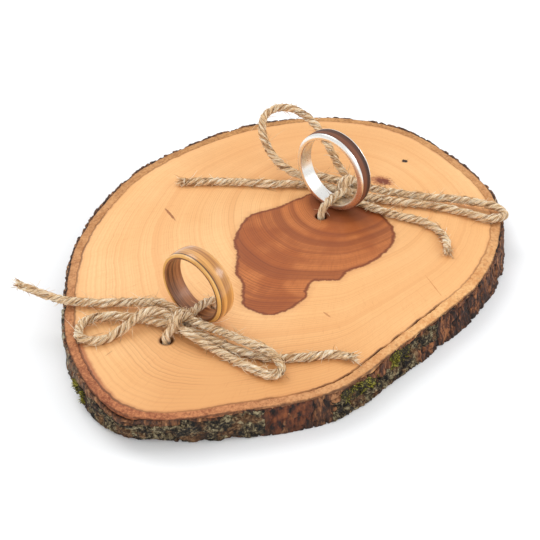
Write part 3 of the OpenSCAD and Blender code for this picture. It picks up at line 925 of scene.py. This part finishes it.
def build_slice():
    """The wood: rows run from the pith to the bark over the top face, p = pith + f (edge - pith), down the
    side, and back to the pith underneath. The two holes and the groove of each twine are then cut out."""
    columns = 540
    s = np.arange(columns) / columns
    edge = inset(s, bark_width(s))
    dip = crack_depth(s)
    rows = []
    for f in np.concatenate([np.linspace(0.006, 0.985, 100), [0.992, 0.9965]]):
        p = PITH + f * (edge - PITH)
        rows.append(np.concatenate([p, np.full((columns, 1), SLICE_T)], 1))
    for drop, back in ((0.12, 0.0), (0.9, 0.0), (SLICE_T / 2, 0), (SLICE_T - 0.3, 0), (SLICE_T, 0.3)):
        q = inset(s, bark_width(s) + back + 0.35 * dip * (drop > 0.05))
        rows.append(np.concatenate([q, np.full((columns, 1), SLICE_T - drop)], 1))
    for f in np.linspace(0.97, 0.02, 16):
        p = PITH + f * (edge - PITH)
        rows.append(np.concatenate([p, np.zeros((columns, 1))], 1))
    wood = add_object("slice_of_wood", tube_mesh("wood", np.array(rows) * MM))
    cuts = []
    turn = np.arange(48) * TAU / 48
    for middle in hole_places():
        cuts.append(cutter(middle + HOLE_R * np.stack([np.cos(turn), np.sin(turn)], -1), -1, SLICE_T + 1))
    for a, b in hole_places().reshape(2, 2, 2):
        side = GROOVE_W / 2 * ACROSS[:2]
        cuts.append(cutter([a - side, a + side, b + side, b - side], -1, GROOVE_DEPTH))
    for n, cut in enumerate(cuts):
        modifier = wood.modifiers.new(f"cut{n}", "BOOLEAN")
        modifier.operation, modifier.solver, modifier.object = "DIFFERENCE", "MANIFOLD", cut
    bpy.context.view_layer.update()
    done = bpy.data.meshes.new_from_object(wood.evaluated_get(bpy.context.evaluated_depsgraph_get()))
    for o in [wood, *cuts]:
        bpy.data.objects.remove(o)
    slice_marks(done)
    done.materials.clear()
    done.name = "wood"
    piece = link("slice_of_wood", done, "root", wood_material(), ("wood_slice",))
    normals_by_angle(piece, 35)
    return piece


def normals_by_angle(piece, degrees):
    """Edges sharper than the angle stay crisp."""
    mesh = piece.data
    mesh.polygons.foreach_set("use_smooth", np.full(len(mesh.polygons), True))
    mesh.set_sharp_from_angle(angle=np.radians(degrees))


build_slice()


# ---- The bark ----

def rind_lip(s):
    """Width of rind that shows on the top face: 0.75 mm at the left and the back, less round the front."""
    a = bearing(s)
    return 0.75 - 0.5 * ease(a, -112, -92) * (1 - ease(a, -22, 5)) - 0.25 * hill(a, -128, 22)


def face_height(s, share):
    """Height of the bark's face at a share of the thickness, below a ragged top edge."""
    chips = 0.45 * ease(ripple(s, 0 * s, 130, 1, 21), 0.1, 0.9) + 0.25 * ease(ripple(s, 0 * s, 420, 1, 22), 0, 1)
    a = bearing(s)
    notch = 1.8 * hill(a, -68, 2.2) + 0.8 * hill(a, -80, 1.4) + 0.9 * hill(a, -106, 2.4) + 1.3 * hill(a, -123, 4)
    top = SLICE_T - 0.15 - chips - notch - 0.7 * (0.75 - rind_lip(s))
    return share * top


def rind_face(s, share):
    """How far the rind's face lies inside the outline: long upright fissures, plates between them and a rough
    grain, all from ripple(), on top of foot_shift()."""
    fissure = 1 - np.abs(ripple(s, share, 150, 3, 31))
    deep = 0.75 * ease(fissure, 0.82, 1.0)
    plates = 0.30 * ripple(s, share, 95, 5, 32)
    grain = 0.16 * ripple(s, share, 420, 10, 33) + 0.09 * ripple(s, share, 900, 20, 34)
    smooth_patch = hill(bearing(s), -91, 6)
    rough = (deep + plates + grain) * (1 - 0.6 * smooth_patch)
    return foot_shift(s, 1 - share) + rough + 0.12


def band_mesh(name, rows):
    """A closed band round the slice from rows of (inset, height) arrays that go once round its section.
    Each vertex keeps shares for the colours, which differ from side to side: front, right, back, left and
    bare; depth and lip, how far it lies inside the face and inside the rind's lip, in millimetres; and
    high, its share of the thickness."""
    columns = len(rows[0][0])
    s = np.arange(columns) / columns
    grid = np.stack([np.concatenate([inset(s, d), h[:, None]], 1) for d, h in rows]) * MM
    mesh = mesh_of(name, grid.reshape(-1, 3), strip_faces(len(rows), columns, closed_rows=True))
    a = bearing(s)
    round_it = {"front": hill(a, -122, 36), "right": hill(a, -35, 42), "back": hill(a, 95, 60),
                "left": hill(a, -151, 13), "bare": ease(a, -97, -95) * (1 - ease(a, -87, -84))}
    marks = {k: np.tile(v, len(rows)) for k, v in round_it.items()}
    marks["depth"] = np.concatenate([d - foot_shift(s, 1 - h / SLICE_T) for d, h in rows])
    marks["lip"] = np.concatenate([d - rind_lip(s) for d, h in rows])
    marks["high"] = np.concatenate([h / SLICE_T for _, h in rows])
    for k, v in marks.items():
        keep(mesh, k, v)
    return mesh


def inner_bark_material():
    """Soft inner bark: orange to red-brown, with fine fibres and a darker outer border."""
    made, shader = material("inner bark", Roughness=0.8)
    place = object_place()
    made_of = placed(CRUMBLE, Vector=place, Grains=1300.0, Patches=190.0)
    shade = mix(made_of["Tone"], (176, 116, 66), (214, 158, 106))
    for where, low, high in (("front", (128, 62, 34), (204, 130, 82)),
                             ("right", (212, 144, 82), (240, 188, 126)),
                             ("back", (158, 104, 52), (206, 150, 90))):
        shade = mix(attribute(where), shade, mix(made_of["Tone"], low, high))
    shade = mix(fade(noise(place, 700, 3, 0.7), 0.56, 0.7) * 0.4, shade, (110, 58, 32))
    ragged = attribute("lip") + (noise(place, 500, 3, 0.7) - 0.5) * 0.9
    shade = mix(fade(ragged, 0.5, 0.0) * 0.85, shade, (78, 42, 24))
    feed(shader, Base_Color=shade, Normal=bump(made_of["Height"], 0.8, 0.00025))
    return made


def rind_material():
    """Rough outer bark: dark brown with upright streaks, red-brown at the right, grey with lichen at the left,
    and a bare red-brown patch at the front; painted shade makes it black in its fissures, and a painted contact
    shadow darkens it towards its foot."""
    made, shader = material("rough bark", Roughness=0.85)
    place = object_place()
    made_of = placed(CRUMBLE, Vector=stretched(place, (1, 1, 0.22)), Grains=1100.0, Patches=380.0)
    shade = ramp(made_of["Tone"], (0.0, (34, 20, 12)), (0.45, (84, 50, 30)), (0.75, (122, 78, 46)),
                 (1.0, (168, 120, 80)))
    red = ramp(made_of["Tone"], (0.08, (22, 11, 6)), (0.5, (80, 40, 21)), (0.95, (158, 98, 56)))
    shade = mix(attribute("right") * 0.85, shade, red)
    grey = fade(noise(place, 420, 3, 0.6), 0.42, 0.54)
    crusted = ramp(made_of["Tone"], (0.1, (48, 42, 32)), (0.5, (122, 112, 88)), (0.9, (184, 178, 152)))
    shade = mix(attribute("left") * grey, shade, crusted)
    smoother = noise(stretched(place, (1, 1, 0.5)), 620, 4, 0.6)
    bare = ramp(smoother, (0.38, (24, 11, 6)), (0.48, (82, 38, 17)), (0.66, (132, 72, 36)))
    patch = attribute("bare") * fade(noise(place, 300, 3) + attribute("high") * 0.3, 0.46, 0.56)
    shade = mix(patch, shade, bare)
    # Painted shade: the deeper parts of the fissures turn nearly black
    fissure_shade = fade(attribute("depth") + (made_of["Tone"] - 0.5) * -0.35, 0.42, 0.85)
    shade = mix(fissure_shade * 0.9, shade, (20, 11, 8))
    # Painted contact shadow: the bark darker towards its foot
    foot = fade(attribute("high") + made_of["Tone"] * 0.2, 0.5, 0.1)
    shade = mix(foot * 0.6, shade, (26, 14, 9))
    feed(shader, Base_Color=shade, Normal=bump(made_of["Height"], 1.0, 0.0004))
    return made


def build_bark():
    """The inner bark, a band between the wood and the rind, and the rind with its rough face."""
    columns = 1440
    s = np.arange(columns) / columns
    zero = np.zeros(columns)
    wood_side = bark_width(s) - 0.02
    dip = crack_depth(s)
    rough_top = 0.10 * ripple(s, zero, 700, 1, 41) + 0.07 * ripple(s, zero, 260, 1, 42)
    outer = rind_lip(s) + 0.16 * ripple(s, zero, 160, 1, 43)
    shelf = SLICE_T - 0.22 - 0.5 * ease(ripple(s, zero, 120, 1, 44), 0.2, 0.9)
    middle = (wood_side + outer) / 2
    rows = [(wood_side, SLICE_T - 0.7 * dip - 0.02), (wood_side - 0.12, SLICE_T - 0.1 * dip + 0.3 * rough_top),
            (wood_side - 0.35, SLICE_T + rough_top), (middle, SLICE_T - 0.05 - rough_top),
            (outer + 0.3, SLICE_T - 0.10 + rough_top), (outer + 0.05, shelf),
            (np.maximum(foot_shift(s, zero + 0.5), 0) + 1.3, shelf * 0.5),
            (np.maximum(foot_shift(s, zero + 1), 0) + 1.3, zero + 0.25),
            (wood_side - 0.1, zero + 0.05), (wood_side, zero + SLICE_T * 0.5)]
    mesh = band_mesh("inner_bark_band", rows)
    link("soft_inner_bark", mesh, "root", inner_bark_material(), ("inner_bark",))
    shares = np.linspace(1, 0, 30)
    face = [(rind_face(s, zero + h), face_height(s, zero + h) + 0.04) for h in shares]
    top_depth, foot_depth = face[0][0], face[-1][0]
    behind = RIND_T + 0.35
    rows = ([(np.maximum(top_depth + 0.35, behind), face[0][1] - 0.25), (top_depth + 0.3, face[0][1] + 0.02)]
            + face + [(np.maximum(foot_depth + 0.8, behind), zero + 0.02),
                      (np.maximum(foot_depth + 0.9, behind), zero + SLICE_T * 0.3)])
    mesh = band_mesh("rough_bark", rows)
    link("rough_outer_bark", mesh, "root", rind_material(), ("outer_bark",))


build_bark()


# ---- Lichen and moss ----

def crust_mesh(start, end, low, high, thick, seed):
    """A crust that lies on the bark between two shares of a turn and two shares of the height. Its outer face
    stands thick (1 - edge) + ripple() proud of the bark, and sinks under the bark at a ragged border; a second
    face a millimetre further in closes it."""
    columns, rows = int((end - start) * 1500) + 8, 26
    s = np.linspace(start, end, columns)[None, :] + np.zeros((rows, 1))
    h = np.linspace(low, high, rows)[:, None] + np.zeros((1, columns))
    u, v = (s - start) / (end - start), (h - low) / (high - low)
    border = np.minimum(np.minimum(u, 1 - u) * (end - start) * 300, np.minimum(v, 1 - v) * (high - low) * 7)
    rugged = 0.55 * ripple(s, h, 300, 6, seed) + 0.35 * ripple(s, h, 800, 16, seed + 1)
    cover = ease(border + 1.1 * ripple(s, h, 130, 4, seed + 3) + 0.5 * rugged, -0.4, 0.3)
    grain = 0.16 * ripple(s, h, 1500, 30, seed + 2)
    depth = rind_face(s, h) + 0.35 - cover * (thick + 0.35 + 0.22 * rugged + grain)
    height = face_height(s, h)
    height = np.where(h >= high - 1e-9, height - 0.01, height)
    outer = np.concatenate([inset(s, depth), height[..., None]], -1)
    inner = np.concatenate([inset(s, np.full_like(depth, 1.25) + foot_shift(s, 1 - h)), height[..., None]], -1)
    grid = np.stack([outer, inner])
    points = grid.reshape(-1, 3) * MM
    i, j = np.arange(rows - 1)[:, None], np.arange(columns - 1)[None, :]
    face = np.stack([i * columns + j, i * columns + j + 1, (i + 1) * columns + j + 1, (i + 1) * columns + j],
                    -1).reshape(-1, 4)
    back = rows * columns
    rim_index = np.concatenate([np.arange(columns), np.arange(1, rows) * columns + columns - 1,
                                (rows - 1) * columns + np.arange(columns - 2, -1, -1),
                                np.arange(rows - 2, 0, -1) * columns])
    following = np.roll(rim_index, -1)
    wall = np.stack([following, rim_index, rim_index + back, following + back], -1)
    return np.concatenate([face, face[:, ::-1] + back, wall]), points


def join_parts(name, parts):
    """One mesh from several arrays of faces and points."""
    faces, points, start = [], [], 0
    for f, p in parts:
        faces.append(f + start)
        points.append(p)
        start += len(p)
    return mesh_of(name, np.concatenate(points), np.concatenate(faces))


def lichen_material():
    """Dry lichen: grey-green crust with pale grains and dark pits."""
    made, shader = material("lichen crust", Roughness=0.95)
    place = object_place()
    made_of = placed(CRUMBLE, Vector=place, Grains=1150.0, Patches=300.0)
    shade = ramp(made_of["Tone"], (0.26, (12, 9, 6)), (0.5, (58, 46, 31)), (0.72, (102, 88, 62)),
                 (0.97, (160, 147, 114)))
    rusty = fade(noise(place, 240, 3, 0.6), 0.5, 0.62)
    shade = mix(rusty * 0.7, shade, mix(made_of["Tone"], (36, 22, 12), (128, 84, 48)))
    feed(shader, Base_Color=shade, Normal=bump(made_of["Height"], 1.0, 0.0005))
    return made


def moss_material():
    """Moss: deep green to bright yellow-green."""
    made, shader = material("moss", Roughness=0.9)
    made_of = placed(CRUMBLE, Vector=object_place(), Grains=1700.0, Patches=300.0)
    shade = ramp(made_of["Tone"], (0.16, (20, 16, 8)), (0.48, (58, 48, 22)), (0.74, (110, 102, 34)),
                 (0.97, (176, 168, 78)))
    feed(shader, Base_Color=shade, Normal=bump(made_of["Height"], 1.0, 0.0004))
    return made


def leaf_material():
    """Moss leaves, each from olive brown to yellow-green."""
    made, shader = material("moss leaves", Roughness=0.8)
    shade = ramp(attribute("tint"), (0.0, (42, 34, 14)), (0.45, (98, 92, 26)), (0.8, (168, 158, 42)),
                 (1.0, (214, 204, 92)))
    shade = mix(fade(noise(object_place(), 260, 2), 0.46, 0.6) * 0.55, shade, (52, 44, 22))
    feed(shader, Base_Color=shade)
    return made


def moss_leaves(places, seed, count):
    """Small leaves on the bark: each is a fibre that stands off the face and curls up."""
    rng = np.random.default_rng(seed)
    bases, outs = [], []
    for start, end, low, high in places:
        n = int(count * (end - start) * 100)
        s, h = rng.uniform(start, end, n), rng.uniform(low, high, n)
        clump = ripple(s, h, 420, 7, seed + 3) > 0.05
        s, h = s[clump], h[clump]
        p = np.concatenate([inset(s, rind_face(s, h) - 0.1), face_height(s, h)[:, None]], 1)
        q = np.concatenate([inset(s, rind_face(s, h) - 1.1), face_height(s, h)[:, None]], 1)
        bases.append(p)
        outs.append(q - p)
    base, out = np.concatenate(bases) * MM, np.concatenate(outs)
    n = len(base)
    aim = unit(out + rng.normal(0, 0.55, (n, 3)) + np.array([0, 0, 0.25]))
    bend = rng.normal(0, 0.2, (n, 3)) + np.array([0, 0, 0.15])
    length = rng.uniform(0.45, 1.25, n) * MM
    width = rng.uniform(0.16, 0.32, n) * MM
    return fibre_tubes("moss_leaves", standing_fibres(base, aim, bend, length), width, seed + 1, 0.3 * MM)


def place_growth(name, shade, node, areas, thick, seed, leaves=0):
    """One growth on the bark: its crusts and, for moss, its leaves. Each area is (first corner, last corner,
    low, high), corners counted from +X with 144 to a turn."""
    turned = [(a / 144, b / 144, low, high) for a, b, low, high in areas]
    parts = [crust_mesh(*area, thick, seed + 7 * n) for n, area in enumerate(turned)]
    link(name, join_parts(name, parts), "root", shade, (node,))
    if leaves:
        link(name + "_leaves", moss_leaves(turned, seed + 50, leaves), "root", LEAVES)


LICHEN, MOSS, LEAVES = lichen_material(), moss_material(), leaf_material()
place_growth("front_lichen_crust", LICHEN, "front_lichen",
             [(91.5, 96.2, 0.05, 0.8), (95.4, 100.5, 0.02, 0.82), (99.6, 105.6, 0.02, 0.99)], 0.35, 60)
place_growth("right_lichen_crust", LICHEN, "right_lichen",
             [(111.6, 114.6, 0.03, 0.66), (113.8, 119.6, 0.03, 0.5), (118.4, 123.8, 0.06, 0.6),
              (122.6, 127.6, 0.4, 0.99)], 0.3, 70)
place_growth("right_moss_tufts", MOSS, "right_moss",
             [(112.6, 117.2, 0.44, 0.92), (119.2, 122.6, 0.45, 0.95)], 0.25, 80, 150)
place_growth("left_moss_tuft", MOSS, "left_moss", [(89.2, 91.1, 0.2, 0.58)], 0.3, 90, 420)


# ---- Rings ----

def turned_band(name, ring, section, shade, node):
    """A lathe-turned band: each (radius, along) point of a closed section is carried round the ring's axis,
    p = centre + along ALONG + radius (cos t ACROSS + sin t up), with 256 steps a turn."""
    turns = 256
    centre = np.array([*FEET[ring], SLICE_T + RING_GAP + BORES[ring] / 2 + WALLS[ring]])
    t = np.arange(turns) * TAU / turns
    spoke = np.cos(t)[:, None] * ACROSS + np.sin(t)[:, None] * UP
    section = np.asarray(section)
    grid = centre + section[:, None, 1:] * ALONG + section[:, None, :1] * spoke[None]
    mesh = mesh_of(name, grid.reshape(-1, 3) * MM, strip_faces(len(section), turns, closed_rows=True))
    piece = link(name, mesh, ring + "_ring", shade, (f"{ring}_ring_{node}",))
    normals_by_angle(piece, 50)


def dome(radius, width, along):
    """Height of the domed outside: radius - CROWN_DROP (2 along / width)^2."""
    return radius - CROWN_DROP * (2 * along / width) ** 2


def domed_section(inner, radius, width, a0, a1, soft0=0.0, soft1=0.0):
    """Section between inner and the dome, from a0 to a1 along the axis; soft0 and soft1 are the radii of the
    rounded edges, each a quarter circle."""
    q = np.linspace(0, np.pi / 2, 7)
    top = []
    if soft0:
        r0 = dome(radius, width, a0 + soft0)
        top += [[r0 - soft0 + soft0 * np.sin(x), a0 + soft0 - soft0 * np.cos(x)] for x in q[:-1]]
    for a in np.linspace(a0 + soft0, a1 - soft1, 15):
        top.append([dome(radius, width, a), a])
    if soft1:
        r1 = dome(radius, width, a1 - soft1)
        top += [[r1 - soft1 + soft1 * np.cos(x), a1 - soft1 + soft1 * np.sin(x)] for x in q[1:]]
    return [[inner, a0]] + top + [[inner, a1]] + [[inner, a] for a in np.linspace(a1, a0, 6)[1:-1]]


def bevelled_section(inner, radius, width, a0, a1):
    """Silver edge between a0, at the ring's rim, and a1, at the inlay: a step by the sleeve, then one broad
    bevel up to the dome, bulged by 0.13 sin(pi t), with t from 0 to 1 across it."""
    step = 0.12
    t = np.linspace(0, 1, 14)
    top = dome(radius, width, a1)
    bulge = 0.13 * np.sin(np.pi * t)
    outward = np.sign(a0 - a1)
    face = np.stack([inner + step + (top - inner - step) * np.sin(t * np.pi / 2) ** 0.9 + 0.3 * bulge,
                     a0 + (a1 - a0) * t + outward * bulge * 0.5], -1)
    face[:, 1] = np.clip(face[:, 1], -width / 2, width / 2)
    return [[inner, a0]] + face.tolist() + [[inner, a1]]


def sleeve_section(inner, outer, width, soft):
    """A flat band with edges rounded towards the finger."""
    half = width / 2
    q = np.linspace(0, np.pi / 2, 6)
    near = [[inner + soft - soft * np.sin(x), -half + soft - soft * np.cos(x)] for x in q[::-1]]
    far = [[inner + soft - soft * np.cos(x), half - soft + soft * np.sin(x)] for x in q]
    return near + [[outer, -half]] + [[outer, half]] + far[::-1]


def banded_wood(name, light, dark, lines, gloss, coat):
    """Bentwood with its grain round the ring, under a satin lacquer."""
    made, shader = material(name, Roughness=gloss, Coat_Weight=coat, Coat_Roughness=0.12)
    made_of = placed(LONG_GRAIN, Vector=object_place(), Lines=lines, Light=light, Dark=dark)
    pores = fade(noise(object_place(), 2600, 2, 0.6), 0.66, 0.72)
    shade = mix(pores * 0.5, made_of["Color"], dark)
    feed(shader, Base_Color=shade, Normal=bump(made_of["Height"], 0.25, 0.00004))
    return made


def silver_material():
    """Polished silver with faint wear."""
    made, shader = material("polished silver", Metallic=1.0)
    place = object_place()
    wear = noise(place, 900, 4, 0.7)
    feed(shader, Base_Color=mix(wear, (240, 237, 230), (252, 250, 246)), Roughness=0.24 + wear * 0.08,
         Normal=bump(wear, 0.02, 0.00001))
    return made


def build_rings():
    """The front ring, bentwood with a pinstripe, and the rear one, silver with a wood inlay."""
    oak = banded_wood("oak", (228, 166, 88), (156, 96, 40), 1700.0, 0.3, 0.5)
    pale = banded_wood("pale edge", (232, 178, 98), (186, 126, 58), 2200.0, 0.32, 0.4)
    walnut = banded_wood("walnut", (172, 112, 68), (86, 48, 24), 2400.0, 0.45, 0.12)
    inlay = banded_wood("walnut inlay", (122, 70, 42), (50, 25, 13), 2000.0, 0.65, 0.0)
    stripe = banded_wood("dark pinstripe", (96, 66, 38), (48, 30, 16), 3000.0, 0.4, 0.2)
    silver = silver_material()
    bore, w = BORES["front"] / 2, 5.4
    r, core, edge = bore + WALLS["front"], bore + SLEEVE_WALL, -w / 2 + 0.5
    liner = sleeve_section(bore, core, w - 0.1, 0.2)
    pale_edge = domed_section(core, r, w, -w / 2, edge, soft0=0.25)
    pinstripe = domed_section(core, r - 0.02, w, edge, edge + 0.3)
    band = domed_section(core, r, w, edge + 0.3, w / 2, soft1=0.5)
    turned_band("dark_liner", "front", liner, walnut, "liner")
    turned_band("pale_edge", "front", pale_edge, pale, "pale_edge")
    turned_band("pinstripe", "front", pinstripe, stripe, "pinstripe")
    turned_band("oak_band", "front", band, oak, "band")
    bore, w, half = BORES["rear"] / 2, 4.7, 1.6
    r, core = bore + WALLS["rear"], bore + SLEEVE_WALL
    middle = domed_section(core, r - 0.03, w, -half, half)
    front_edge = bevelled_section(core, r, w, -w / 2, -half)
    back_edge = bevelled_section(core, r, w, w / 2, half)
    turned_band("silver_sleeve", "rear", sleeve_section(bore, core, w, 0.3), silver, "sleeve")
    turned_band("wood_inlay", "rear", middle, inlay, "inlay")
    turned_band("silver_front_edge", "rear", front_edge, silver, "front_edge")
    turned_band("silver_back_edge", "rear", back_edge, silver, "back_edge")


build_rings()


# ---- Floor and lights ----

def add_floor():
    """A large pale floor, a hair under the slice."""
    mesh = bpy.data.meshes.new("floor")
    half, low = 2.0, -0.0001
    mesh.from_pydata([(-half, -half, low), (half, -half, low), (half, half, low), (-half, half, low)], [],
                     [(0, 1, 2, 3)])
    made, shader = material("pale floor", Roughness=0.6)
    tone = noise(object_place(), 3, 1)
    feed(shader, Base_Color=mix(tone, (0.955, 0.96, 0.965, 1), (0.97, 0.97, 0.97, 1)))
    mesh.materials.append(made)
    floor = add_object("floor", mesh)


def add_light(name, place, size, power, target=(0, 0, 0.01)):
    """A square soft light that faces the target."""
    data = bpy.data.lights.new(name, "AREA")
    data.size, data.energy = size, power
    light = add_object(name, data)
    light.location = place
    light.rotation_mode = "QUATERNION"
    light.rotation_quaternion = (Vector(target) - Vector(place)).to_track_quat("-Z", "Y")


add_floor()
world = bpy.data.worlds.new("studio")
world.use_nodes = True
feed(world.node_tree.nodes["Background"], Color=(0.97, 0.985, 1.0, 1), Strength=0.86)
bpy.context.scene.world = world
add_light("back_left", (-0.24, 0.28, 0.52), 0.34, 1.15)
add_light("right", (0.52, 0.05, 0.36), 0.22, 0.8)
add_light("front", (-0.10, -0.55, 0.30), 0.40, 0.75)
bpy.context.scene.view_settings.view_transform = "Standard"
